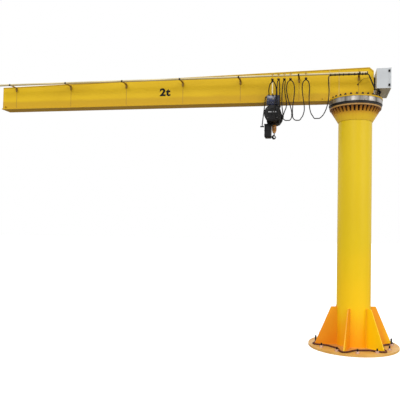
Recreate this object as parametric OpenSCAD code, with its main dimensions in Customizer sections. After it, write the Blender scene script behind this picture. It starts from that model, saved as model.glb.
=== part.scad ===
// Free-standing pillar jib crane with a slewing box arm, an electric chain hoist and a festoon cable.
// Origin: centre of the foot plate's underside, on the pillar's axis. The arm points along -X.

/* [Foot] */
// Diameter of the round foot plate
foot_d = 1400; // [1300:10:1500]
// Thickness of the foot plate
foot_t = 30; // [20:1:40]
// Number of gussets round the foot
gusset_count = 6; // [4:1:8]
// Height of the gussets above the foot plate
gusset_h = 590; // [450:10:700]
// Thickness of a gusset plate
gusset_t = 15; // [10:1:20]
// Width of a gusset at its top, outside the pillar
gusset_top_w = 95; // [50:5:120]
// Radius of the gussets' toes
gusset_toe_r = 610; // [560:5:630]
// Height of the gussets' toes
gusset_toe_h = 25; // [15:5:40]
// Number of anchor holes
anchor_count = 12; // [8:1:16]
// Pitch circle diameter of the anchor holes
anchor_pcd = 1170; // [1170:5:1260]
// Diameter of an anchor hole
anchor_d = 34; // [28:1:40]
// Diameter of the cable that lies round the foot
rope_d = 26; // [12:1:30]

/* [Pillar] */
// Outer diameter of the pillar tube
pillar_d = 530; // [480:5:560]
// Wall of the pillar tube
pillar_wall = 10; // [8:1:16]
// Height of the head flange's top face
head_z = 3770; // [3000:10:4500]
// Diameter of the head flange
head_d = 810; // [780:5:830]
// Thickness of the head flange
head_t = 24; // [18:1:30]
// Number of ribs under the head flange
rib_count = 36; // [24:1:40]
// Height of a rib
rib_h = 200; // [150:10:260]
// Thickness of a rib
rib_t = 12; // [8:1:14]

/* [Slewing ring] */
// Outer diameter of the lower, dark ring
race_d = 820; // [800:5:830]
// Height of the lower ring
race_h = 36; // [30:1:50]
// Outer diameter of the upper, bare steel ring
ring_d = 840; // [830:2:850]
// Height of the upper ring
ring_h = 72; // [60:1:90]
// Inner diameter of both rings
ring_id = 700; // [660:5:720]
// Running gap between the rings
ring_gap = 0.3; // [0.3:0.1:2]
// Diameter of the slewing plate on the ring
plate_d = 850; // [845:1:870]
// Thickness of the slewing plate
plate_t = 22; // [18:1:30]

/* [Arm] */
// Distance of the arm's tip from the pillar axis
arm_l = 6200; // [5500:50:6500]
// Distance of the arm's rear end from the pillar axis
arm_rear = 275; // [250:5:330]
// Width of the box girder outside its webs
girder_w = 180; // [170:5:200]
// Thickness of a web
web_t = 8; // [6:1:12]
// Width of the lower flange, on which the trolley runs
flange_w = 240; // [230:5:260]
// Thickness of the lower flange
flange_t = 18; // [12:1:20]
// Width of the top flange
top_w = 196; // [184:2:220]
// Thickness of the top flange
top_t = 12; // [8:1:15]
// Depth of the girder at its tip
tip_h = 398; // [350:5:450]
// Depth of the girder at its rear end
root_h = 528; // [500:5:640]
// Size of the bevel on the upper rear corner
bevel = 60; // [40:5:90]
// Thickness of the end plates
end_t = 10; // [8:1:15]
// Length of the end stops below the flange
stop_h = 45; // [30:5:60]

/* [Festoon rail] */
// Diameter of the rail tube
rail_d = 34; // [28:1:40]
// Distance of the rail's centre from the web
rail_off = 196; // [180:2:220]
// Height of the rail's centre above the girder's underside
rail_h = 383; // [370:1:384]
// How far the rail stands past the arm's tip
rail_over = 20; // [0:5:40]
// Number of rail brackets
bracket_count = 7; // [5:1:9]
// Width of a bracket arm
bracket_w = 30; // [20:2:40]
// Diameter of the festoon cable
cable_d = 16; // [12:1:18]

/* [Hoist] */
// Distance of the trolley from the pillar axis at rest
trolley_x = 1310; // [1300:5:1340]
// Length of the trolley side plates
trolley_l = 200; // [180:5:240]
// Diameter of the trolley wheels
wheel_d = 90; // [80:2:100]
// Diameter of the hoist's round ends
hoist_d = 276; // [260:2:290]
// Length of the hoist across the arm
hoist_w = 500; // [460:10:540]
// Width of the chain container
bin_w = 106; // [90:2:120]
// Height of the chain container
bin_h = 220; // [200:5:260]
// Outer diameter of the hook block
block_d = 76; // [66:2:90]
// Height of the hook block
block_h = 132; // [120:2:160]
// Distance from the girder's underside down to the hook block
drop = 347; // [345:1:380]

/* [Control box] */
// Size of the box along the arm
box_l = 217; // [200:1:260]
// Width of the box across the arm
box_w = 600; // [560:10:680]
// Height of the box
box_h = 313; // [280:1:360]
// Gap between the arm's rear end and the box
box_gap = 25; // [20:1:60]
// Height of the box above the slewing plate
box_up = 110; // [100:1:150]
// Wall of the box
box_wall = 3; // [2:0.5:4]
// Depth of the door's rim
door_t = 24; // [18:1:30]

/* [Hidden] */
$fn = 96;

// clearances: the gap between touching bodies, and between plates that are welded
seat = 0.3;
weld = 0.05;

// heights of the stack on the pillar
race_top = head_z + race_h;
ring_z = race_top + ring_gap;
plate_z = ring_z + ring_h;
flange_z = plate_z + plate_t - flange_t;
web_z = plate_z + plate_t;
under = flange_z;
top_tip = under + tip_h;
top_root = under + root_h;
slope = (top_root - top_tip) / (arm_l + arm_rear);
function top_at(x) = top_tip + (x + arm_l) * slope;

// foot
gusset_turn = 14;
anchor_turn = 3;
rope_in = 455;
rope_out = gusset_toe_r + rope_d / 2 + 16;

// rail and its carriers
rail_y = -(girder_w / 2 + rail_off);
rail_z = under + rail_h;
rail_rear = 170;
rail_wall = 3;
bracket_in = 265;
bracket_front = -arm_l + bracket_in;
bracket_rear = 45;
bracket_crowd = 0.066;
bracket_t = 10;
hang_x = -430;
carrier_x = [-780, -1023, -1120, -1212];
carrier_w = 40;
cheek_t = 4;
cheek_gap = 3;
roller_d = 18;
roller_half = 10;
roller_over = 14;
saddle_under = 50;
saddle_z = rail_z - rail_d / 2 - saddle_under;
saddle_h = 12;
cable_top = saddle_z - seat - cable_d / 2;
loop_top = cable_top - 12;
loop_under = 725;
loop_z = rail_z - loop_under;
hang_half = 12;
tied_z = rail_z - rail_d / 2 - cable_d / 2 - seat;

// trolley and hoist
tx = -trolley_x;
side_gap = 14;
side_y = flange_w / 2 + side_gap;
side_t = 12;
side_under = 60;
wheel_half = 52;
wheel_gap = 16;
drive_y = -side_y - side_t;
drive_l = 205;
drive_w = 55;
drive_z = under - side_under;
drive_h = 158;
drive_top = drive_z + drive_h;
drive_left = tx - drive_l / 2;
hang_gap = 65;
bar_h = 36;
tow_w = 20;
tow_t = 8;
body_l = 210;
body_w = 200;
hoist_z = under - hang_gap - hoist_d / 2;
hoist_bottom = hoist_z - hoist_d / 2;
chain_x = tx + 10;
chain_d = 22;
chain_in = 30;
bin_x = tx - 92;
bin_depth = 160;
block_z = under - drop;
shank_d = 18;
shank_in = 30;
shank_out = 40;
hook_r = 32;

// the control lead's route: out of the drive's end and down
lead_d = 10;
lead_y = drive_y - drive_w / 2;
lead_route = [
    [drive_left, lead_y, under + 75], [drive_left - 8, lead_y, under + 75],
    [drive_left - 18, lead_y, under + 66], [drive_left - 24, lead_y, under + 30],
    [drive_left - 30, lead_y, under - 50], [drive_left - 40, lead_y, under - 140],
    [drive_left - 50, lead_y, under - 230], [drive_left - 60, lead_y, under - 320],
    [drive_left - 66, lead_y, under - 380], [drive_left - 66, lead_y, under - 395]
];
handle_d = 24;
handle_l = 60;

// control box
box_x = arm_rear + box_gap;
box_z = web_z + box_up;
box_y = -box_w / 2;
shell_l = box_l - door_t - seat;
door_x = box_x + box_l - door_t;
door_over = 1;
door_wall = 2;
gland_x = box_x + 60;
gland_y = -130;
gland_d = 36;
gland_h = 30;
gland_end = box_z - gland_h;
hinge_d = 16;
hinge_h = 34;
hinge_in = 30;
hinge_y = box_y - door_over - hinge_d / 2 - seat;

module ring(d, id, h) {
    difference() {
        cylinder(d = d, h = h);
        translate([0, 0, -1]) cylinder(d = id, h = h + 2);
    }
}

// a tube along a list of points; the ends are flat, or joined if it is closed
function unit(v) = v / norm(v);
function tangent(p, i, closed) =
    let (n = len(p), a = closed ? (i + n - 1) % n : max(i - 1, 0), b = closed ? (i + 1) % n : min(i + 1, n - 1))
    unit(p[b] - p[a]);
function side_of(t) = unit(cross(t, abs(t[1]) < 0.9 ? [0, 1, 0] : [1, 0, 0]));
module sweep(p, d, sides, closed = false) {
    n = len(p);
    rings = [
        for (i = [0:n - 1])
            let (t = tangent(p, i, closed), u = side_of(t), v = cross(t, u))
            for (k = [0:sides - 1])
                p[i] + d / 2 * (cos(360 * k / sides) * u + sin(360 * k / sides) * v)
    ];
    last = closed ? n - 1 : n - 2;
    walls = [
        for (i = [0:last], k = [0:sides - 1])
            let (a = i * sides, b = ((i + 1) % n) * sides, m = (k + 1) % sides)
            [a + k, a + m, b + m, b + k]
    ];
    caps = closed ? [] : [[for (k = [sides - 1:-1:0]) k], [for (k = [0:sides - 1]) (n - 1) * sides + k]];
    polyhedron(rings, concat(walls, caps), convexity = 6);
}

module foot_plate() {
    color("gold")
        difference() {
            cylinder(d = foot_d, h = foot_t);
            for (i = [0:anchor_count - 1])
                rotate(anchor_turn + i * 360 / anchor_count)
                    translate([anchor_pcd / 2, 0, -1]) cylinder(d = anchor_d, h = foot_t + 2);
        }
}

module gusset() {
    r0 = pillar_d / 2;
    rotate([90, 0, 0])
        translate([0, 0, -gusset_t / 2])
            linear_extrude(gusset_t)
                polygon([
                    [r0 - pillar_wall, 0],
                    [gusset_toe_r, 0],
                    [gusset_toe_r, gusset_toe_h],
                    [r0 + gusset_top_w, gusset_h],
                    [r0 - pillar_wall, gusset_h]
                ]);
}

module foot_gussets() {
    color("orange")
        translate([0, 0, foot_t])
            difference() {
                for (i = [0:gusset_count - 1]) rotate(gusset_turn + i * 360 / gusset_count) gusset();
                translate([0, 0, -1]) cylinder(d = pillar_d + 2 * weld, h = gusset_h + 2);
            }
}

// the cable lies inside the anchors and bends out round each gusset's toe
module foot_cable() {
    steps = 13 * gusset_count;
    route = [
        for (i = [0:steps - 1])
            let (turn = i * 360 / steps, a = gusset_turn + turn, wave = pow((1 + cos(gusset_count * turn)) / 2, 3),
                r = rope_in + (rope_out - rope_in) * wave)
            [r * cos(a), r * sin(a), foot_t + rope_d / 2 + seat]
    ];
    color("saddlebrown") sweep(route, rope_d, 8, true);
}

module pillar_tube() {
    color("gold") translate([0, 0, foot_t]) ring(pillar_d, pillar_d - 2 * pillar_wall, head_z - head_t - foot_t);
}

module head_flange() {
    color("goldenrod") translate([0, 0, head_z - head_t]) ring(head_d, pillar_d - 2 * pillar_wall, head_t);
}

module head_ribs() {
    r0 = pillar_d / 2;
    rib_edge = 8;
    color("peru")
        translate([0, 0, head_z - head_t - rib_h])
            difference() {
                for (i = [0:rib_count - 1])
                    rotate(i * 360 / rib_count)
                        rotate([90, 0, 0])
                            translate([0, 0, -rib_t / 2])
                                linear_extrude(rib_t)
                                    polygon([
                                        [r0 - pillar_wall, 0],
                                        [r0 + rib_edge, 0],
                                        [head_d / 2 - rib_edge, rib_h],
                                        [r0 - pillar_wall, rib_h]
                                    ]);
                translate([0, 0, -1]) cylinder(d = pillar_d + 2 * weld, h = rib_h + 2);
            }
}

module race_ring() {
    color("black") translate([0, 0, head_z]) ring(race_d, ring_id, race_h);
}

module slew_ring() {
    color("silver") translate([0, 0, ring_z]) ring(ring_d, ring_id, ring_h);
}

module slew_plate() {
    color("gold") translate([0, 0, plate_z]) cylinder(d = plate_d, h = plate_t);
}

module lower_flange() {
    color("gold")
        difference() {
            translate([-arm_l, -flange_w / 2, flange_z]) cube([arm_l, flange_w, flange_t]);
            translate([0, 0, flange_z - 1]) cylinder(d = plate_d, h = flange_t + 2);
        }
}

// one web plate, from the flange up to the sloping top
module web(y) {
    x0 = -arm_l + end_t;
    x1 = arm_rear - end_t;
    translate([0, y + web_t, 0])
        rotate([90, 0, 0])
            linear_extrude(web_t)
                polygon([
                    [x0, web_z],
                    [x1, web_z],
                    [x1, top_at(x1) - top_t - bevel - weld],
                    [x1 - bevel - weld, top_at(x1 - bevel) - top_t - weld],
                    [x0, top_at(x0) - top_t - weld]
                ]);
}

module web_front() {
    color("gold") web(-girder_w / 2);
}

module web_back() {
    color("gold") web(girder_w / 2 - web_t);
}

// the top flange bends down over the bevelled rear corner
module top_flange() {
    x0 = -arm_l;
    x1 = arm_rear - end_t;
    x2 = x1 - bevel;
    color("gold")
        translate([0, top_w / 2, 0])
            rotate([90, 0, 0])
                linear_extrude(top_w)
                    polygon([
                        [x0, top_at(x0) - top_t],
                        [x2, top_at(x2) - top_t],
                        [x1, top_at(x1) - top_t - bevel],
                        [x1 + end_t, top_at(x1) - top_t - bevel],
                        [x1 + end_t, top_at(x1) - bevel],
                        [x2 + top_t / 2, top_at(x2)],
                        [x0, top_at(x0)]
                    ]);
}

module tip_plate() {
    color("gold")
        translate([-arm_l, -girder_w / 2, web_z])
            cube([end_t, girder_w, top_at(-arm_l) - top_t - weld - web_z]);
}

module rear_plate() {
    x = arm_rear - end_t;
    color("gold")
        translate([x, -girder_w / 2, web_z])
            cube([end_t, girder_w, top_at(x) - top_t - bevel - weld - web_z]);
}

// flat bars on both webs over the slewing plate
module root_stiffeners() {
    bar_w = 12;
    bar_t = (top_w - girder_w) / 2;
    color("gold")
        for (x = [-plate_d / 2 + 16, -pillar_d / 2 + 3], s = [-1, 1])
            translate([x - bar_w / 2, s > 0 ? girder_w / 2 : -girder_w / 2 - bar_t, web_z])
                cube([bar_w, bar_t, top_at(x - bar_w / 2) - top_t - weld - web_z]);
}

// rubber-faced stops on the flange, one pair at the tip and one pair at the pillar
module end_stops() {
    stop_l = 30;
    color("dimgray")
        for (x = [-arm_l + stop_l, -plate_d / 2 - 3 * stop_l], s = [-1, 1])
            translate([x, s > 0 ? girder_w / 2 : -flange_w / 2, web_z])
                cube([stop_l, (flange_w - girder_w) / 2, stop_h]);
}

module festoon_rail() {
    color("gainsboro")
        translate([-arm_l - rail_over, rail_y, rail_z])
            rotate([0, 90, 0]) ring(rail_d, rail_d - 2 * rail_wall, arm_l + rail_over + rail_rear);
}

// each arm leaves the web below the top flange and holds the rail from behind
module rail_bracket(x) {
    y0 = -girder_w / 2;
    y1 = rail_y + rail_d / 2;
    half = bracket_t / 2;
    translate([x - bracket_w / 2, 0, 0])
        rotate([90, 0, 90])
            linear_extrude(bracket_w)
                polygon([
                    [y0, rail_z - 65],
                    [y0, rail_z - 25],
                    [y0 - 16, rail_z + half],
                    [y1, rail_z + half],
                    [y1, rail_z - half],
                    [y0 - 22, rail_z - half - 4],
                    [y0 - bracket_t, rail_z - 65]
                ]);
}

// they stand a little closer together towards the pillar
module rail_brackets() {
    span = bracket_rear - bracket_front;
    color("darkslategray")
        for (i = [0:bracket_count - 1])
            let (t = i / (bracket_count - 1), share = t + bracket_crowd * t * (1 - t))
            rail_bracket(bracket_front + span * share);
}

// the fixed end of the cable: up from the first loop, along the rail, and down and round to the gland
module rail_cable() {
    z = tied_z;
    y = rail_y;
    leave = [rail_rear + 14, y, z - 12];
    pass = [box_x - 24, y, box_z - 4];
    tail = [
        [-45, -156, 4], [-27, -136, -16], [-14, -100, -36], [-5, -56, -46], [-1, -16, -38], [0, -3, -24],
        [0, 0, -12], [0, 0, 0]
    ];
    color("black")
        sweep([
            [hang_x, y, loop_top + 12], [hang_x, y, z - 20], [hang_x + 8, y, z - 7], [hang_x + 24, y, z],
            [hang_x / 2, y, z], [0, y, z], [rail_rear / 2, y, z], [rail_rear - 15, y, z - 1],
            leave, leave + (pass - leave) / 3, leave + (pass - leave) * 2 / 3, pass,
            for (p = tail) [gland_x, gland_y, gland_end] + p
        ], cable_d, 8);
}

module box_shell() {
    t = box_wall;
    color("lightgray")
        translate([box_x, box_y, box_z])
            difference() {
                cube([shell_l, box_w, box_h]);
                translate([t, t, t]) cube([box_l, box_w - 2 * t, box_h - 2 * t]);
            }
}

// the hollow bar that carries the box on the rear end plate
module box_bracket() {
    t = 6;
    color("dimgray")
        translate([arm_rear, -girder_w / 2, box_z + box_h / 4])
            difference() {
                cube([box_gap, girder_w, box_h / 2]);
                translate([t, -1, t]) cube([box_gap - 2 * t, girder_w + 2, box_h / 2 - 2 * t]);
            }
}

module cable_gland() {
    color("black") translate([gland_x, gland_y, gland_end]) cylinder(d = gland_d, h = gland_h, $fn = 48);
}

module box_door() {
    t = door_wall;
    w = box_w + 2 * door_over;
    h = box_h + 2 * door_over;
    color("lightgray")
        translate([door_x, box_y - door_over, box_z - door_over])
            difference() {
                cube([door_t, w, h]);
                translate([-1, t, t]) cube([door_t - t + 1, w - 2 * t, h - 2 * t]);
            }
}

// the knuckles stand on leaves on the shell's side, and the door turns about them
module door_hinges() {
    leaf = 20;
    color("black")
        for (z = [box_z + hinge_in, box_z + box_h - hinge_in - hinge_h]) {
            translate([door_x, hinge_y, z]) cylinder(d = hinge_d, h = hinge_h, $fn = 48);
            translate([door_x - leaf, hinge_y, z]) cube([leaf - seat, box_y - hinge_y, hinge_h]);
        }
}

// a carrier hooks round the rail from the front, so that it passes the brackets:
// one cheek, two rollers on top of the rail and a saddle for the cable below it
module carrier(x) {
    reach = rail_d / 2 + cheek_gap;
    roll_z = rail_z + (rail_d + roller_d) / 2 + seat;
    translate([x - carrier_w / 2, rail_y - reach - cheek_t, saddle_z])
        cube([carrier_w, cheek_t, roll_z + roller_d / 2 - saddle_z]);
    translate([x - carrier_w / 2, rail_y - reach, saddle_z]) cube([carrier_w, 2 * reach, saddle_h]);
    for (s = [-1, 1])
        translate([x + s * roller_half, rail_y + roller_over, roll_z])
            rotate([90, 0, 0]) cylinder(d = roller_d, h = roller_over + reach, $fn = 32);
}
module carrier_1() color("dimgray") carrier(carrier_x[0]);
module carrier_2() color("dimgray") carrier(carrier_x[1]);
module carrier_3() color("dimgray") carrier(carrier_x[2]);
module carrier_4() color("dimgray") carrier(carrier_x[3]);

// a hanging loop between two points of equal height, from the pillar's side to the tip's side
loop_steps = 11;
function loop(xa, xb) = [
    for (i = [0:loop_steps])
        let (a = 180 * i / loop_steps, deep = loop_top - loop_z)
        [(xa + xb) / 2 - (xb - xa) / 2 * cos(a), rail_y, loop_top - deep * pow(sin(a), 0.6)]
];

module festoon_cable() {
    held = concat(carrier_x, [tx]);
    route = [
        [hang_x, rail_y, loop_top + 12],
        each loop(hang_x, held[0] + hang_half),
        for (i = [0:len(held) - 2])
            each concat([[held[i], rail_y, cable_top]], loop(held[i] - hang_half, held[i + 1] + hang_half)),
        [tx, rail_y, cable_top],
        [tx - hang_half, rail_y, loop_top],
        [tx - hang_half, rail_y, loop_top - 12]
    ];
    color("black") sweep(route, cable_d, 8);
}

module trolley_plates() {
    color("midnightblue")
        for (s = [-1, 1])
            translate([tx - trolley_l / 2, s > 0 ? side_y : -side_y - side_t, under - side_under])
                cube([trolley_l, side_t, side_under + flange_t + wheel_d * 0.8]);
}

// two tie bars between the plates and the cross bar that carries the hoist
module trolley_bars() {
    color("dimgray") {
        for (x = [-0.35, 0.35] * trolley_l)
            translate([tx + x, side_y, under - bar_h])
                rotate([90, 0, 0]) cylinder(d = 24, h = 2 * side_y, $fn = 32);
        translate([tx - 40, -side_y, under - hang_gap]) cube([80, 2 * side_y, bar_h]);
    }
}

module trolley_wheels() {
    wheel_w = side_y - girder_w / 2 - wheel_gap;
    color("gray")
        for (x = [-wheel_half, wheel_half], s = [-1, 1])
            translate([tx + x, s > 0 ? side_y : -side_y + wheel_w, web_z + wheel_d / 2 + seat])
                rotate([90, 0, 0]) cylinder(d = wheel_d, h = wheel_w);
}

module trolley_drive() {
    color("navy") translate([drive_left, drive_y - drive_w, drive_z]) cube([drive_l, drive_w, drive_h]);
}

// an upright flat bar on the drive, with a carrier of its own on the rail
module tow_arm() {
    y = rail_y + cable_d / 2 + 2;
    color("lightgray") {
        translate([tx - tow_w / 2, y, drive_top]) cube([tow_w, tow_t, saddle_z - drive_top]);
        translate([tx - tow_w / 2, y, drive_top]) cube([tow_w, drive_y - y, tow_t]);
        carrier(tx);
    }
}

// the last stretch of cable, from the tow arm's saddle down into the drive
module trolley_cable() {
    y = rail_y;
    end_y = drive_y - drive_w / 2;
    color("black")
        sweep([
            [tx - hang_half, y, loop_top - 12], [tx - hang_half, y, loop_top - 24],
            [tx - 22, y + 2, loop_top - 50], [tx - 44, y + 14, loop_top - 96],
            [tx - 60, y + 44, loop_top - 142], [tx - 66, y + 84, drive_top + 52],
            [tx - 66, end_y - 6, drive_top + 28], [tx - 66, end_y, drive_top + 12], [tx - 66, end_y, drive_top]
        ], cable_d, 8);
}

module hoist_body() {
    color("black")
        difference() {
            translate([tx - body_l / 2, -body_w / 2, hoist_bottom]) cube([body_l, body_w, hoist_d]);
            translate([chain_x, 0, hoist_bottom - 1]) cylinder(d = chain_d + 2 * seat, h = chain_in + 11, $fn = 48);
        }
}

module hoist_motor() {
    color("black")
        translate([tx, -body_w / 2, hoist_z]) rotate([90, 0, 0]) cylinder(d = hoist_d, h = (hoist_w - body_w) / 2);
}

module hoist_gearbox() {
    color("black")
        translate([tx, hoist_w / 2, hoist_z]) rotate([90, 0, 0]) cylinder(d = hoist_d, h = (hoist_w - body_w) / 2);
}

module chain_container() {
    color("black")
        translate([bin_x - bin_w / 2, -bin_depth / 2, hoist_bottom - bin_h]) cube([bin_w, bin_depth, bin_h]);
}

module control_lead() {
    color("black") sweep(lead_route, lead_d, 8);
}

module control_handle() {
    p = lead_route[len(lead_route) - 1];
    color("dimgray")
        translate([p[0] - handle_l / 2, p[1], p[2] - handle_d / 2 - weld])
            rotate([0, 90, 0]) cylinder(d = handle_d, h = handle_l, $fn = 32);
}

module chain() {
    color("silver")
        translate([chain_x, 0, block_z]) cylinder(d = chain_d, h = hoist_bottom + chain_in - block_z, $fn = 48);
}

module hook_block() {
    color("orange")
        translate([chain_x, 0, block_z - block_h])
            difference() {
                cylinder(d = block_d, h = block_h);
                translate([0, 0, -1]) cylinder(d = shank_d + 2 * seat, h = shank_in + 1, $fn = 48);
            }
}

// the shank turns in the block, and the hook is an open ring on it
module hook() {
    color("black")
        translate([chain_x, 0, block_z - block_h]) {
            translate([0, 0, -shank_out]) cylinder(d = shank_d, h = shank_out + shank_in - 1, $fn = 48);
            translate([0, 0, -shank_out - hook_r])
                rotate([90, 0, 0])
                    rotate_extrude(angle = 280, start = 90) translate([hook_r, 0]) circle(d = shank_d, $fn = 24);
        }
}

foot_plate();
foot_gussets();
foot_cable();
pillar_tube();
head_flange();
head_ribs();
race_ring();
slew_ring();
slew_plate();
lower_flange();
web_front();
web_back();
top_flange();
tip_plate();
rear_plate();
root_stiffeners();
end_stops();
festoon_rail();
rail_brackets();
rail_cable();
box_shell();
box_bracket();
cable_gland();
box_door();
door_hinges();
carrier_1();
carrier_2();
carrier_3();
carrier_4();
festoon_cable();
trolley_plates();
trolley_bars();
trolley_wheels();
trolley_drive();
tow_arm();
trolley_cable();
hoist_body();
hoist_motor();
hoist_gearbox();
chain_container();
control_lead();
control_handle();
chain();
hook_block();
hook();
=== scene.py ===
import math

import bmesh
import bpy
from mathutils import Matrix, Vector


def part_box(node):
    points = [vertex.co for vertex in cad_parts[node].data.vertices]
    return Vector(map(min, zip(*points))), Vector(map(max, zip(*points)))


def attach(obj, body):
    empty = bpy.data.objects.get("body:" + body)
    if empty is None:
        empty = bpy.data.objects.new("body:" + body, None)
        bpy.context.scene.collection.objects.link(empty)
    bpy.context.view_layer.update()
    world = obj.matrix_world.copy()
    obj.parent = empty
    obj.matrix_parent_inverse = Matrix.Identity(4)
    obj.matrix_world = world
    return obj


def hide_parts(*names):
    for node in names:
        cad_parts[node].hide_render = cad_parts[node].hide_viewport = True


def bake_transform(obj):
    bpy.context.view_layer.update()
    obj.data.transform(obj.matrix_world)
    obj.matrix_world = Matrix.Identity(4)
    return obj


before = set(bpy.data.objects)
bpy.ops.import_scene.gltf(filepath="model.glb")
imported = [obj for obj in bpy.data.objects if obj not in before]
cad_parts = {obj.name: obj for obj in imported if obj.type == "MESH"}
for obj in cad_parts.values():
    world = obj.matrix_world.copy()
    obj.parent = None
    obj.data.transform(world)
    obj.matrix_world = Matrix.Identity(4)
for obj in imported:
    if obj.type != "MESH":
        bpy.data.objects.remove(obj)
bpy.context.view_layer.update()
print("frame loaded:", len(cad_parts), "nodes")

mm = 0.001
up = Vector((0, 0, 1))
forward = Vector((0, -1, 0))


def addObject(name, data):
    made = bpy.data.objects.new(name, data)
    bpy.context.scene.collection.objects.link(made)
    return made


cameraSettings = {
    "place": (-0.468, -8.041, 1.832),
    "yaw": 0.1714,
    "pitch": 0.0354,
    "roll": 0.0176,
    "lens": 44.33,
    "shift": (-0.0983, 0.0258),
    "reach": 200,
}


def makeCamera(s):
    data = bpy.data.cameras.new("view")
    data.lens = s["lens"]
    data.shift_x, data.shift_y = s["shift"]
    data.clip_end = s["reach"]
    camera = addObject("view", data)
    turn = Matrix.Rotation(s["yaw"], 4, "Z") @ Matrix.Rotation(math.pi / 2 + s["pitch"], 4, "X")
    camera.matrix_world = Matrix.Translation(s["place"]) @ turn @ Matrix.Rotation(s["roll"], 4, "Z")
    bpy.context.scene.camera = camera


makeCamera(cameraSettings)
bpy.context.scene.view_settings.view_transform = "Standard"
print("camera placed")


def colour(code):
    parts = [int(code[i:i + 2], 16) / 255 for i in (1, 3, 5)]
    return [p / 12.92 if p < 0.04045 else ((p + 0.055) / 1.055) ** 2.4 for p in parts] + [1.0]


def feed(tree, node, inputs):
    # gives each input its value, or wires it to the output that is named for it
    for name, value in inputs.items():
        if isinstance(value, bpy.types.NodeSocket):
            tree.links.new(value, node.inputs[name])
        else:
            node.inputs[name].default_value = value


def addNode(tree, kind, inputs, **traits):
    node = tree.nodes.new("ShaderNode" + kind)
    for trait, value in traits.items():
        setattr(node, trait, value)
    feed(tree, node, inputs)
    return node


def paint(tone, patch, rough, size, metal=0, coat=0, shine=0.4, stretch=(1, 1, 1)):
    material = bpy.data.materials.new("finish")
    material.use_nodes = True
    tree = material.node_tree
    place = addNode(tree, "TexCoord", {}).outputs["Object"]
    scaled = addNode(tree, "Mapping", {"Vector": place, "Scale": stretch}).outputs["Vector"]
    clouds = addNode(tree, "TexNoise", {"Vector": scaled, "Scale": size, "Detail": 6}).outputs["Fac"]
    ramp = addNode(tree, "ValToRGB", {"Fac": clouds})
    for end, position, code in zip(ramp.color_ramp.elements, (0.35, 0.6), (patch, tone)):
        end.position = position
        end.color = colour(code)
    glossy, dull = max(rough - 0.08, 0.05), rough + 0.1
    gloss = addNode(tree, "MapRange", {"Value": clouds, "To Min": dull, "To Max": glossy})
    grain = addNode(tree, "TexNoise", {"Vector": place, "Scale": 90, "Detail": 3})
    edges = addNode(tree, "Bevel", {"Radius": 3 * mm}, samples=4)
    bump = addNode(tree, "Bump", {"Height": grain.outputs["Fac"], "Normal": edges.outputs["Normal"],
                                  "Strength": 0.35, "Distance": 0.6 * mm})
    feed(tree, tree.nodes["Principled BSDF"], {
        "Base Color": ramp.outputs["Color"], "Roughness": gloss.outputs["Result"],
        "Normal": bump.outputs["Normal"], "Metallic": metal, "Coat Weight": coat, "Coat Roughness": 0.15,
        "Specular IOR Level": shine})
    return material


finishes = {
    # name: tone, darker patches, roughness and size of the patches, then metal, coat, shine and how far the
    # patches are squeezed along x, y and z
    "girderPaint": paint("#dbb512", "#cfa80f", 0.5, 1.3, shine=0.18, stretch=(0.5, 1, 1.6)),
    # painted highlight: a paler copy of the girder's yellow for the root stiffeners
    "edgeHighlightPaint": paint("#e0c14e", "#d3b240", 0.45, 5),
    "seamPaint": paint("#ab851c", "#977319", 0.5, 5),
    "pillarPaint": paint("#e3c50a", "#d8b808", 0.4, 0.9, coat=0.05, shine=0.25, stretch=(1, 1, 0.35)),
    "bellPaint": paint("#e0a428", "#cf8e1c", 0.5, 3, coat=0.15),
    # painted shade: the dark brown of the sheet behind the bell's pockets
    "pocketPaint": paint("#4a2708", "#331a05", 0.6, 8, shine=0.2),
    "flangePaint": paint("#b78c4a", "#a67a38", 0.5, 5, coat=0.1),
    # painted shade: the brackets' yellow paint as a darker brownish copy
    "bracketPaint": paint("#a38234", "#876826", 0.5, 9, coat=0.1),
    "gussetPaint": paint("#eca50c", "#e79307", 0.42, 2.2, coat=0.1, stretch=(1, 1, 0.6)),
    "footPaint": paint("#dcae5e", "#cf9a48", 0.5, 4, coat=0.1),
    "topPaint": paint("#d2b03c", "#c6a22e", 0.5, 2, coat=0.05),
    "carrierZinc": paint("#c89e20", "#b48b1a", 0.55, 20, shine=0.2),
    "railSteel": paint("#d3c59c", "#bcae84", 0.4, 6, metal=0.25, stretch=(0.3, 1, 1)),
    "ringSteel": paint("#a6a19b", "#66625e", 0.3, 16, metal=0.75, stretch=(1, 1, 0.12)),
    # near black: the race ring's own dark steel together with painted shade of the gap round it
    "raceSteelAndShade": paint("#16100c", "#080503", 0.45, 8, metal=0.3),
    "darkSteel": paint("#3a3531", "#26221f", 0.5, 14, metal=0.5),
    "boltSteel": paint("#2c2724", "#171412", 0.42, 30, metal=0.7),
    "zincSteel": paint("#d9b6a2", "#b88e78", 0.45, 30, metal=0.35),
    "wheelSteel": paint("#8d8a86", "#5d5a57", 0.35, 20, metal=0.8),
    "chainSteel": paint("#a9a59e", "#7d7973", 0.32, 40, metal=0.85),
    "hookSteel": paint("#0f0e0e", "#080707", 0.55, 25, shine=0.25),
    "saddleSteel": paint("#4f3a1c", "#33240f", 0.5, 20, metal=0.2),
    "boxPaint": paint("#c3c8cd", "#b9bec3", 0.45, 2.5, coat=0.1),
    "hoistPaint": paint("#0b0b10", "#060609", 0.5, 9, shine=0.2),
    "bluePaint": paint("#16244f", "#0c1633", 0.26, 9, coat=0.5),
    "orangePaint": paint("#c98a3c", "#b1722a", 0.42, 14, coat=0.2),
    "blackPlastic": paint("#151416", "#0c0b0d", 0.55, 18, shine=0.25),
    "greyPlastic": paint("#a7a9ab", "#939597", 0.5, 18),
    "cableJacket": paint("#1a1714", "#0f0d0b", 0.55, 20, shine=0.25),
    "brownJacket": paint("#5c2106", "#3a1204", 0.5, 20),
    "rubber": paint("#232120", "#171615", 0.8, 25),
    "blackPaint": paint("#0d0b09", "#070605", 0.6, 12, shine=0.2),
}
for name, material in finishes.items():
    material.name = name


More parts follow.
